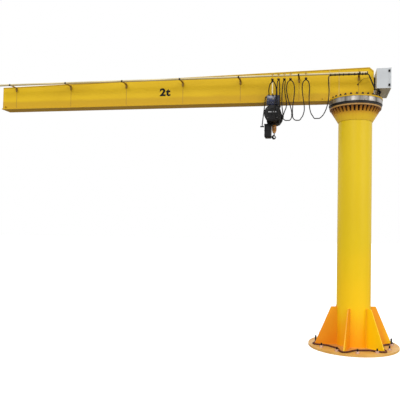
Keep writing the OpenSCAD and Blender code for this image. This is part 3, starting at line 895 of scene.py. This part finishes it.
def makeArmNumber(s):
    data = bpy.data.curves.new("armNumber", "FONT")
    data.body = s["text"]
    data.size = (s["height"] - s["bold"]) / s["capital"]
    data.offset = s["bold"]
    data.extrude = 0.4 * mm
    data.align_x = "CENTER"
    data.space_character = s["spacing"]
    bm = meshOf(data)
    place = rotated((s["x"], -girderHalf - 0.5 * mm, webBase + s["z"]), 90)
    bmesh.ops.transform(bm, matrix=place @ Matrix.Diagonal((s["wide"], 1, 1, 1)), verts=bm.verts)
    makePiece("armNumber", bm, "blackPaint", "jib")


makeArmWelds(armSettings)
makeArmSeams(armSettings)
makeStopPads()
makeRailStraps(railSettings)
makeRailEnds(railSettings)
makeCableTies(railSettings)
makeWebWire(wireSettings)
makeArmNumber(numberSettings)
print("arm done")


carrierSettings = {"half": 20, "wheelRadius": 9, "wheelHalf": 10, "cheek": 4, "disc": 11, "clear": 3}


def makeCarrier(name, x, body, replaced, s):
    base = Vector((x, railY, saddleZ))
    frameMesh, clamp, wheels = bmesh.new(), bmesh.new(), bmesh.new()
    half, cheek, r = s["half"], s["cheek"], s["wheelRadius"]
    reach = railRadius / mm + s["clear"]
    tall = (railZ + railRadius - saddleZ) / mm + r + 0.3
    outline = mirrored([(half, 0), (half, 9), (5, 22), (5, tall - 18), (half * 0.8, tall - 5),
                        (half * 0.8, tall + 6)])
    addPlate(frameMesh, outline, cheek, rotated(shift(base, 0, -reach, 0), 90), 1.2)
    # the saddle that the cable lies under, with its clamp screw and a dark clamp in front
    addBlock(frameMesh, shift(base, -half, -reach, 0), shift(base, half, reach, 12), 3)
    addNut(frameMesh, shift(base, 0, 0, 12), up, 13, 8, 11)
    addBlock(clamp, shift(base, -half - 1, -reach - 6, -1), shift(base, half + 1, reach + 1, 9), 3)
    for side in (-1, 1):
        axle = shift(base, side * s["wheelHalf"], 0, tall)
        addNut(frameMesh, shift(axle, 0, -reach - cheek, 0), forward, 9, 5)
        addRod(frameMesh, shift(axle, 0, 12, 0), shift(axle, 0, (-reach - cheek - 5) * 0.8, 0), 3, 10)
        addTurned(clamp, [(0, 0), (9, 0), (10, 2), (10, 6), (8, 8), (0, 8)],
                  facing(shift(base, side * s["disc"], -reach - 5, 6), forward), 20)
        addTurned(wheels, [(0, -14), (r, -14), (r, -11), (r * 0.72, -5), (r * 0.72, 5), (r, 12),
                           (r, 15), (0, 15)], rotated(axle, 90), 24)
    makePiece(name + "Frame", frameMesh, "carrierZinc", body, replaced)
    makePiece(name + "Clamp", clamp, "saddleSteel", body)
    makePiece(name + "Wheels", wheels, "greyPlastic", body)


towSettings = {"half": 10, "thick": 8, "brace": (60, 70, 6), "bolt": (10, 6)}


def makeTowBar(s):
    # an angled bar that pushes the last carrier, with a brace in its corner and two bolts
    bm = bmesh.new()
    foot = Vector((trolleyX, railY + 10 * mm, driveHigh.z))
    half, thick = s["half"], s["thick"]
    addBlock(bm, shift(foot, -half, 0, 0), shift((foot.x, foot.y, saddleZ), half, thick, 2), 2)
    addBlock(bm, shift(foot, -half, 0, 0), shift((foot.x, driveLow.y, foot.z), half, 30, thick), 2)
    long, tall, brace = s["brace"]
    place = rotated(shift(foot, -brace / 2, 7, 7), 90, "Z") @ rotated((0, 0, 0), 90)
    addPlate(bm, [(0, 0), (long, 0), (0, tall)], brace, place, 0.8)
    for y in (6, 24):
        addNut(bm, shift((foot.x, driveLow.y, foot.z), 0, y, thick), up, *s["bolt"])
    makePiece("towBar", bm, "railSteel", "trolley", ["tow_arm"])


for number, x in enumerate(carrierX, 1):
    makeCarrier("carrier%d" % number, x, holders[number], [holders[number]], carrierSettings)
makeCarrier("towCarrier", trolleyX, "trolley", [], carrierSettings)
makeTowBar(towSettings)
print("carriers done")


boxSettings = {
    "latches": (0.25, 0.75), "latchIn": 45, "panelIn": 28,
    "screwIn": 22, "screw": (12, 5), "knuckle": 8.6,
}
doorLow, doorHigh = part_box("box_door")
hingeLow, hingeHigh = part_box("door_hinges")


def makeDoor(s):
    # two turning latches on the side away from the hinges, a raised panel and a drip strip
    latches, panel = bmesh.new(), bmesh.new()
    for share in s["latches"]:
        height = doorLow.z + share * (doorHigh.z - doorLow.z)
        seat = shift((doorHigh.x, doorHigh.y, height), 0, -s["latchIn"], 0)
        addButton(latches, seat, (1, 0, 0), 14, 2.5, 11, 5, 28)
        addBlock(latches, shift(seat, 4, -10, -2.5), shift(seat, 8, 10, 2.5), 1)
    makePiece("doorLatches", latches, "blackPlastic", "door")
    inset = s["panelIn"]
    addBlock(panel, shift((doorHigh.x, doorLow.y, doorLow.z), -1, inset, inset),
             shift(doorHigh, 1.5, -80, -inset), 1.2)
    addBlock(panel, shift((doorLow.x, doorLow.y, doorHigh.z), 2, 0, -1.5), shift(doorHigh, 4, 0, 1.5), 1)
    makePiece("doorPanel", panel, "boxPaint", "door")


def makeBox(s):
    # a folded edge round the shell's mouth, the screws and the hinges' knuckles
    rim, screws, knuckles = bmesh.new(), bmesh.new(), bmesh.new()
    a, b, c, d = [(boxHigh.x, y, z) for z in (boxLow.z, boxHigh.z) for y in (boxLow.y, boxHigh.y)]
    for low, out, high, past in ((a, (-2, 0), c, (0, 0)), (b, (0, 0), d, (2, 0)),
                                 (a, (0, -2), b, (0, 0)), (c, (0, 0), d, (0, 2))):
        addBlock(rim, shift(low, -14, *out), shift(high, -4, *past), 0.8)
    makePiece("boxRim", rim, "boxPaint", "jib")
    inset = s["screwIn"] * mm
    for y in (boxLow.y + inset, boxHigh.y - inset):
        for x in (boxLow.x + inset, boxHigh.x - 2 * inset):
            addNut(screws, (x, y, boxLow.z), -up, *s["screw"])
            addNut(screws, (x, y, boxHigh.z), up, *s["screw"])
    makePiece("boxScrews", screws, "boltSteel", "jib")
    r = s["knuckle"]
    for z in (hingeLow.z, hingeHigh.z - 34 * mm):
        for k in range(3):
            place = shift((doorLow.x, hingeLow.y, z), 0, 8, 12 * k)
            addTurned(knuckles, [(0, 0), (r, 0), (r, 10), (0, 10)], place, 24)
    makePiece("hingeKnuckles", knuckles, "blackPlastic", "jib")


clampSettings = {"place": (-22, -122, -24), "rings": 2, "step": 15, "radius": 25, "thick": 7}


def makeGland():
    bm = bmesh.new()
    base = (gland.x, gland.y, glandHigh.z)
    r = (glandHigh.x - glandLow.x) / 2 / mm
    addNut(bm, base, -up, r * 1.72, 9, 0, r)
    addTurned(bm, [(0, 9), (r * 0.86, 9), (r * 0.86, 14), (r * 0.95, 15), (r * 0.95, 23), (r * 0.7, 30),
                   (r * 0.5, 30), (0, 28)], facing(base, -up), 24)
    makePiece("glandNut", bm, "blackPlastic", "jib", ["cable_gland"])


def makeCableClamp(s):
    # the round clamp that holds the cable's bend under the box
    bm = bmesh.new()
    seat = shift((gland.x, gland.y, glandLow.z), *s["place"])
    r, thick = s["radius"], s["thick"]
    for base in (k * s["step"] for k in range(s["rings"])):
        addTurned(bm, [(r - thick, base), (r, base - thick), (r + thick, base), (r, base + thick),
                       (r - thick, base)], facing(seat, (0.2, -1, 0)), 32)
    addBlock(bm, shift(seat, -9, -10, 26), shift((seat.x, seat.y, boxLow.z), 9, 8, 0), 2)
    makePiece("cableClamp", bm, "blackPlastic", "jib")


makeDoor(boxSettings)
makeBox(boxSettings)
makeGland()
makeCableClamp(clampSettings)
print("control box done")


trolleySettings = {
    "thick": 12, "cut": 32, "axleHalf": 52, "axleNut": (24, 12, 18, 17), "barHalf": 70, "barDrop": 36,
    "barNut": (26, 12, 20, 18),
}
sideLow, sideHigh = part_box("trolley_plates")
wheelLow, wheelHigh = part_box("trolley_wheels")


def makeTrolley(s):
    sides, wheels, nuts = bmesh.new(), bmesh.new(), bmesh.new()
    half, tall = (sideHigh.x - sideLow.x) / 2 / mm, (sideHigh.z - sideLow.z) / mm
    cut, thick = s["cut"], s["thick"]
    outline = mirrored([(half - cut, 0), (half, cut * 1.4), (half, tall - cut), (half - cut, tall)])
    inner = sideHigh.y - thick * mm
    for y in (sideLow.y + thick * mm, sideHigh.y):
        addPlate(sides, outline, thick, rotated((trolleyX, y, sideLow.z), 90), 1.5)
    makePiece("trolleySides", sides, "bluePaint", "trolley", ["trolley_plates"])
    r = (wheelHigh.z - wheelLow.z) / 2 / mm
    profile = [(0, 0.5), (r * 0.55, 0.5), (r * 0.6, 3), (r + 7, 4), (r + 7, 8), (r, 10), (r - 1, 28),
               (r * 0.5, 28), (r * 0.45, 24), (0, 24)]
    for x in (-1, 1):
        axle = shift((trolleyX, 0, (wheelHigh.z + wheelLow.z) / 2), x * s["axleHalf"], 0, 0)
        for side in (-1, 1):
            addTurned(wheels, profile, rotated((axle.x, side * inner, axle.z), side * 90), 40)
        addNut(nuts, (axle.x, sideHigh.y, axle.z), -forward, *s["axleNut"])
        bar = shift((trolleyX, sideHigh.y, under), x * s["barHalf"], 0, -s["barDrop"])
        addNut(nuts, bar, -forward, *s["barNut"])
    makePiece("trolleyWheelSet", wheels, "wheelSteel", "trolley", ["trolley_wheels"])
    makePiece("trolleyNuts", nuts, "boltSteel", "trolley")


driveSettings = {"ribs": 7, "ribStep": 6.4, "screwIn": 26, "screw": (10, 4), "lid": 6}


def makeDrive(s):
    # the travel motor: a rounded case with a lid, cooling ribs and a round end cover
    case, screws, glands = bmesh.new(), bmesh.new(), bmesh.new()
    face, corner = (driveHigh.x, driveLow.y, driveHigh.z), (driveHigh.x, driveLow.y, driveLow.z)
    lid = s["lid"]
    addBlock(case, driveLow, driveHigh, 9, 3)
    addBlock(case, shift(driveLow, 14, -lid, 58), shift(face, -14, 4, -12), 4, 3)
    for k in range(s["ribs"]):
        z = 10 + k * s["ribStep"]
        addBlock(case, shift(driveLow, 16, -4, z), shift(corner, -16, 4, z + 2.4))
    makePiece("driveCase", case, "bluePaint", "trolley", ["trolley_drive"])
    inset = s["screwIn"] * mm
    for x in (driveLow.x + inset, driveHigh.x - inset):
        for z in (driveLow.z + 70 * mm, driveHigh.z - 24 * mm):
            addNut(screws, shift((x, driveLow.y, z), 0, -lid, 0), forward, *s["screw"])
    cover = shift(((driveLow.x + driveHigh.x) / 2, driveLow.y, driveLow.z), 8, -lid, 92)
    addButton(screws, cover, forward, 15, 3, 11, 6, 28)
    makePiece("driveScrews", screws, "wheelSteel", "trolley")
    for seat, out, r in ((shift((driveLow.x, driveY, under), 0, 0, 75), (-1, 0, 0), 5),
                         (shift((trolleyX, driveY, driveHigh.z), -66, 0, 0), up, 8)):
        addTurned(glands, [(r, -1), (r * 2.4, -1), (r * 2.4, 5), (r * 1.8, 6), (r * 1.7, 13),
                           (r * 1.25, 20), (r, 20), (r, -1)], facing(seat, out), 20)
    makePiece("driveGlands", glands, "blackPlastic", "trolley")


hoistSettings = {
    "fins": 40, "finHeight": 9, "capDepth": 34, "rings": 4, "spokes": 6, "ribs": 12,
    "screws": 8, "capScrews": 4, "bands": (-60, 0, 60), "plates": (-66, 10),
}
motorLow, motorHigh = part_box("hoist_motor")
gearLow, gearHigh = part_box("hoist_gearbox")
bodyLow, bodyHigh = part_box("hoist_body")
hoistX = (motorLow.x + motorHigh.x) / 2
hoistZ = (motorLow.z + motorHigh.z) / 2
hoistRadius = (motorHigh.z - motorLow.z) / 2 / mm
motorPlace = rotated((hoistX, motorHigh.y, hoistZ), 90)
gearPlace = rotated((hoistX, gearLow.y, hoistZ), -90)
motorLength = (motorHigh.y - motorLow.y) / mm
gearLength = (gearHigh.y - gearLow.y) / mm


def makeHousing(s):
    # the body between the motor and the gearbox, with its bands and its neck
    bm = bmesh.new()
    addBlock(bm, bodyLow, bodyHigh, 22, 4)
    for y in s["bands"]:
        addBlock(bm, shift((bodyLow.x, 0, bodyLow.z), -5, y - 4, 30),
                 shift((bodyHigh.x, 0, bodyHigh.z), 5, y + 4, -30), 2)
    addBlock(bm, shift((hoistX, 0, bodyHigh.z), -34, -34, -12), shift((hoistX, 0, under), 34, 34, -65), 4)
    makePiece("hoistHousing", bm, "hoistPaint", "trolley", ["hoist_body"])


def makeMotor(s):
    # a finned barrel with a fan cover at its end, and the cover's rings and spokes
    r, length = hoistRadius, motorLength
    inner, barrel = r - s["finHeight"], length - s["capDepth"]
    bm = bmesh.new()
    addTurned(bm, [(0, -1), (r, -1), (r, 10), (inner, 12), (inner, barrel), (0, barrel)], motorPlace, 64)
    addRibs(bm, s["fins"], (inner - 2, -1.6, 10), (r - 1, 1.6, barrel + 2), 0, motorPlace)
    makePiece("motorBarrel", bm, "hoistPaint", "trolley", ["hoist_motor"])
    bm = bmesh.new()
    addTurned(bm, [(0, barrel - 1), (r - 2, barrel - 1), (r - 2, length - 16), (r - 6, length - 8),
                   (r - 16, length - 4), (r * 0.55, length - 2), (r * 0.53, length - 6),
                   (0, length - 6)], motorPlace, 64)
    for k in range(s["rings"]):
        a, z = r * 0.12 * (k + 1), length - 4.5
        addHoop(bm, a, a + 4, z - 2, z + 2, motorPlace, 48)
    addRibs(bm, s["spokes"], (r * 0.1, -2.5, length - 6.5), (r * 0.56, 2.5, length - 3), 0, motorPlace)
    makePiece("fanCover", bm, "blackPlastic", "trolley")


def makeGearCover(s):
    r, length = hoistRadius, gearLength
    bm = bmesh.new()
    addTurned(bm, [(0, -1), (r, -1), (r, length * 0.42), (r - 8, length * 0.45), (r - 8, length * 0.7),
                   (r - 26, length * 0.86), (r * 0.5, length * 0.93), (r * 0.42, length), (0, length)],
                   gearPlace, 64)
    addRibs(bm, s["ribs"], (r * 0.4, -3, length * 0.6), (r - 9, 3, length * 0.84), 1.5, gearPlace)
    makePiece("gearCover", bm, "hoistPaint", "trolley", ["hoist_gearbox"])


def makeHoistScrews(s):
    # screws round the gearbox and the fan cover, and two bare data plates
    bm = bmesh.new()
    for turn in turns(s["screws"], 180 / s["screws"]):
        seat = gearPlace @ turn @ shift((0, 0, 0), hoistRadius - 4.5, 0, gearLength * 0.43)
        addNut(bm, seat, -forward, 10, 7)
    for turn in turns(s["capScrews"], 180 / s["capScrews"]):
        seat = motorPlace @ turn @ shift((0, 0, 0), hoistRadius * 0.78, 0, motorLength - 4.5)
        addNut(bm, seat, forward, 9, 4)
    makePiece("hoistScrews", bm, "wheelSteel", "trolley")
    bm = bmesh.new()
    base = (hoistX, motorLow.y, hoistZ)
    for x in s["plates"]:
        addBlock(bm, shift(base, x, 0.5, 8), shift(base, x + 56, 5, 26), 0.6)
    makePiece("hoistPlates", bm, "greyPlastic", "trolley", slot="bare_steel")


binSettings = {"bevel": 14, "beads": 2, "bead": 4, "mouth": 14}


def makeContainer(s):
    # the chain's bin, with three beads round it and a folded mouth under the housing
    low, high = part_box("chain_container")
    bm = bmesh.new()
    addBlock(bm, low, high, s["bevel"], 4)
    out, bead = s["beads"], s["bead"]
    for z in (high.z - 30 * mm, (low.z + high.z) / 2, low.z + 40 * mm):
        addBlock(bm, shift((low.x, low.y, z), -out, -out, -bead),
                 shift((high.x, high.y, z), out, out, bead), 2)
    addBlock(bm, shift((low.x, low.y, high.z), -4, -4, -s["mouth"]), shift(high, 4, 4, -0.5), 3)
    makePiece("chainBin", bm, "blackPlastic", "trolley", ["chain_container"])


def makeHandle():
    low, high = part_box("control_handle")
    mid = (low + high) / 2
    r, length = (high.z - low.z) / 2 / mm, (high.x - low.x) / mm
    bm = bmesh.new()
    addTurned(bm, [(0, 0), (r * 0.8, 0), (r, 3), (r, 8), (r * 0.8, 12), (r * 0.8, length - 12),
                   (r, length - 8), (r, length - 3), (r * 0.8, length), (0, length)],
                   facing((low.x, mid.y, mid.z), (1, 0, 0)), 28)
    addTurned(bm, [(0, 0), (8, 0), (6, 18), (0, 18)], (mid.x, mid.y, high.z - 3 * mm), 20)
    makePiece("handleGrip", bm, "blackPlastic", "trolley", ["control_handle"])


makeTrolley(trolleySettings)
makeDrive(driveSettings)
makeHousing(hoistSettings)
makeMotor(hoistSettings)
makeGearCover(hoistSettings)
makeHoistScrews(hoistSettings)
makeContainer(binSettings)
makeHandle()
print("hoist done")


chainSettings = {"pitch": 27 * mm, "wire": 7 * mm, "width": 20 * mm, "travel": 3.05, "corners": 12}
chainLow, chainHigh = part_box("chain")
chainX = (chainLow.x + chainHigh.x) / 2


def restDepth(depth, rest, travel):
    # how far down a point lies at rest, so that the lowered hook draws it to its own depth
    low, high = 0.0, 1.0
    for _ in range(40):
        t = (low + high) / 2
        reached = rest * t + travel * t * t * (3 - 2 * t)
        low, high = (t, high) if reached < depth else (low, t)
    return rest * (low + high) / 2


def makeChain(s):
    rest = chainHigh.z - chainLow.z
    whole = rest + s["travel"]
    half, r = (s["width"] - s["wire"]) / 2, s["wire"] / 2
    straight = s["pitch"] / 2 - half + r
    oval = []
    for turn in turns(s["corners"]):
        p = turn @ Vector((half, 0, 0))
        oval.append(Vector((p.x, 0, p.y + math.copysign(straight, p.y + 1e-6))))
    tube = tubeMesh(oval, s["wire"], True, 1)
    link = bpy.data.meshes.new("link")
    tube.to_mesh(link)
    tube.free()
    bm = bmesh.new()
    for k in range(int(whole / s["pitch"])):
        depth = s["pitch"] * (k + 0.5)
        before = len(bm.verts)
        bm.from_mesh(link)
        bm.verts.ensure_lookup_table()
        turn = Matrix.Rotation(math.pi / 2 * (k % 2), 4, "Z")
        for v in bm.verts[before:]:
            p = turn @ v.co
            down = min(max(depth - p.z, 0), whole)
            v.co = Vector((chainX + p.x, p.y, chainHigh.z - restDepth(down, rest, s["travel"])))
    bpy.data.meshes.remove(link)
    return makePiece("loadChain", bm, "chainSteel", None, ["chain"], 180, welded=False)


blockSettings = {"boltIn": (44, 34), "boltFlats": 16, "boltHeight": 5.9, "washer": 11, "band": 2}
blockLow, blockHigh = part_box("hook_block")


def makeBlock(s):
    # two bolted shell halves with a rounded head, a collar below and a band round the middle
    place = Vector((chainX, 0, blockLow.z))
    r, tall = (blockHigh.x - blockLow.x) / 2 / mm, (blockHigh.z - blockLow.z) / mm
    bm = bmesh.new()
    addTurned(bm, [(12, tall), (r * 0.62, tall), (r * 0.82, tall - 6), (r, tall - 24), (r, 44),
                   (r * 0.86, 26), (r * 0.66, 16), (r * 0.66, 0), (10, 0)], place, 48)
    makePiece("blockShell", bm, "orangePaint", "hook_block", ["hook_block"])
    bm = bmesh.new()
    for z in (s["boltIn"][0], tall - s["boltIn"][1]):
        for side in (-1, 1):
            seat = shift(place, 0, side * (r - 1.5), z)
            addNut(bm, seat, (0, side, 0), s["boltFlats"], s["boltHeight"], 0, s["washer"])
    mid, half = tall / 2, s["band"]
    addTurned(bm, [(r - 1, mid - half - 1), (r + 0.8, mid - half), (r + 0.8, mid + half),
                   (r - 1, mid + half + 1)], place, 48)
    makePiece("blockBolts", bm, "boltSteel", "hook_block")


hookSettings = {
    "radius": 25, "thick": 29, "shank": 45, "start": 90, "sweep": 262, "steps": 34, "corners": 16,
    "latch": ((10, 24), (33, -3)), "cheek": [(7, 27), (14, 27), (35, -2), (31, -8), (5, 1)],
}


def makeHook(s):
    # a forged hook: the section swells at the back of the bend and thins to the point
    centre = shift((chainX, 0, blockLow.z), 0, 0, -s["shank"] - s["radius"])
    bm = bmesh.new()
    rings = []
    for k in range(s["steps"] + 1):
        t = k / s["steps"]
        a = math.radians(s["start"] + s["sweep"] * t)
        swell = 0.62 + 0.42 * math.sin(math.pi * min(t * 1.12, 1)) ** 0.8
        if t > 0.82:
            swell *= 1 - (t - 0.82) / 0.18 * 0.72
        section = s["thick"] / 2 * swell * mm
        grow = s["radius"] * (1 + 0.03 * t)
        middle = shift(centre, math.cos(a) * grow, 0, math.sin(a) * grow)
        circle = bmesh.ops.create_circle(bm, segments=s["corners"], radius=1, cap_ends=False)["verts"]
        shape = Matrix.Diagonal((section * 1.1, section * 0.86, 1, 1))
        bmesh.ops.transform(bm, matrix=rotated(middle, -math.degrees(a), "Y") @ shape, verts=circle)
        rings.append(list({e for v in circle for e in v.link_edges}))
    for a, b in zip(rings, rings[1:]):
        bmesh.ops.bridge_loops(bm, edges=a + b)
    bmesh.ops.holes_fill(bm, edges=[e for e in bm.edges if e.is_boundary], sides=s["corners"])
    low = -s["shank"]
    addTurned(bm, [(0, low - 6), (7, low - 6), (9, low + 10), (9, 20), (0, 20)],
              (chainX, 0, blockLow.z), 24)
    makePiece("forgedHook", bm, "hookSteel", "hook", ["hook"], 50)
    # the spring latch across the mouth
    bm = bmesh.new()
    (x1, z1), (x2, z2) = s["latch"]
    for side in (-1, 1):
        addRod(bm, shift(centre, x1, side * 8, z1), shift(centre, x2, side * 4, z2), 2)
    addRod(bm, shift(centre, x1, -10, z1), shift(centre, x1, 10, z1), 3.5, 12)
    addRod(bm, shift(centre, x2, -5, z2), shift(centre, x2, 5, z2), 2)
    addPlate(bm, s["cheek"], 8, rotated(shift(centre, 0, 4, 0), 90), 1)
    makePiece("hookLatch", bm, "darkSteel", "hook")


chainPiece = makeChain(chainSettings)
makeBlock(blockSettings)
makeHook(hookSettings)
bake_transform(chainPiece)
for level, start, end in festoonLevels:
    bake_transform(level)
print("hook done")


lightSettings = {
    # name: direction that it comes from, strength and softness in degrees
    "key": ((-2.0, -9.0, 5.0), 0.94, 24),
    "fill": ((7.0, -5.0, 3.0), 0.74, 40),
}


def makeLights(s):
    for name, (direction, strength, softness) in s.items():
        data = bpy.data.lights.new(name, "SUN")
        data.energy = strength
        data.angle = math.radians(softness)
        lamp = addObject(name, data)
        lamp.location = direction
        lamp.rotation_mode = "QUATERNION"
        lamp.rotation_quaternion = (-Vector(direction)).to_track_quat("-Z", "Y")


def makeWorld():
    world = bpy.data.worlds.new("studio")
    bpy.context.scene.world = world
    world.use_nodes = True
    feed(world.node_tree, world.node_tree.nodes["Background"], {"Color": (1, 1, 1, 1), "Strength": 1})


floorSettings = {"size": 60, "seen": (0.95, 0.95, 0.95, 1), "glow": 0.3, "bounce": (0.30, 0.26, 0.20, 1)}


def makeFloor(s):
    # white to the camera with the object's shadow on it, and darker in what it throws back
    bm = bmesh.new()
    bmesh.ops.create_grid(bm, x_segments=1, y_segments=1, size=s["size"])
    mesh = bpy.data.meshes.new("floor")
    bm.to_mesh(mesh)
    bm.free()
    addObject("floor", mesh)
    material = bpy.data.materials.new("floorWhite")
    material.use_nodes = True
    tree = material.node_tree
    tree.nodes.clear()
    seen = addNode(tree, "LightPath", {}).outputs["Is Camera Ray"]
    bounce = addNode(tree, "BsdfDiffuse", {"Color": s["bounce"]}).outputs["BSDF"]
    white = addNode(tree, "BsdfDiffuse", {"Color": s["seen"]}).outputs["BSDF"]
    glow = addNode(tree, "Emission", {"Strength": s["glow"]}).outputs["Emission"]
    lit = addNode(tree, "AddShader", {0: white, 1: glow}).outputs["Shader"]
    mix = addNode(tree, "MixShader", {"Fac": seen, 1: bounce, 2: lit}).outputs["Shader"]
    addNode(tree, "OutputMaterial", {"Surface": mix})
    mesh.materials.append(material)


makeLights(lightSettings)
makeWorld()
makeFloor(floorSettings)
print("light and floor done")
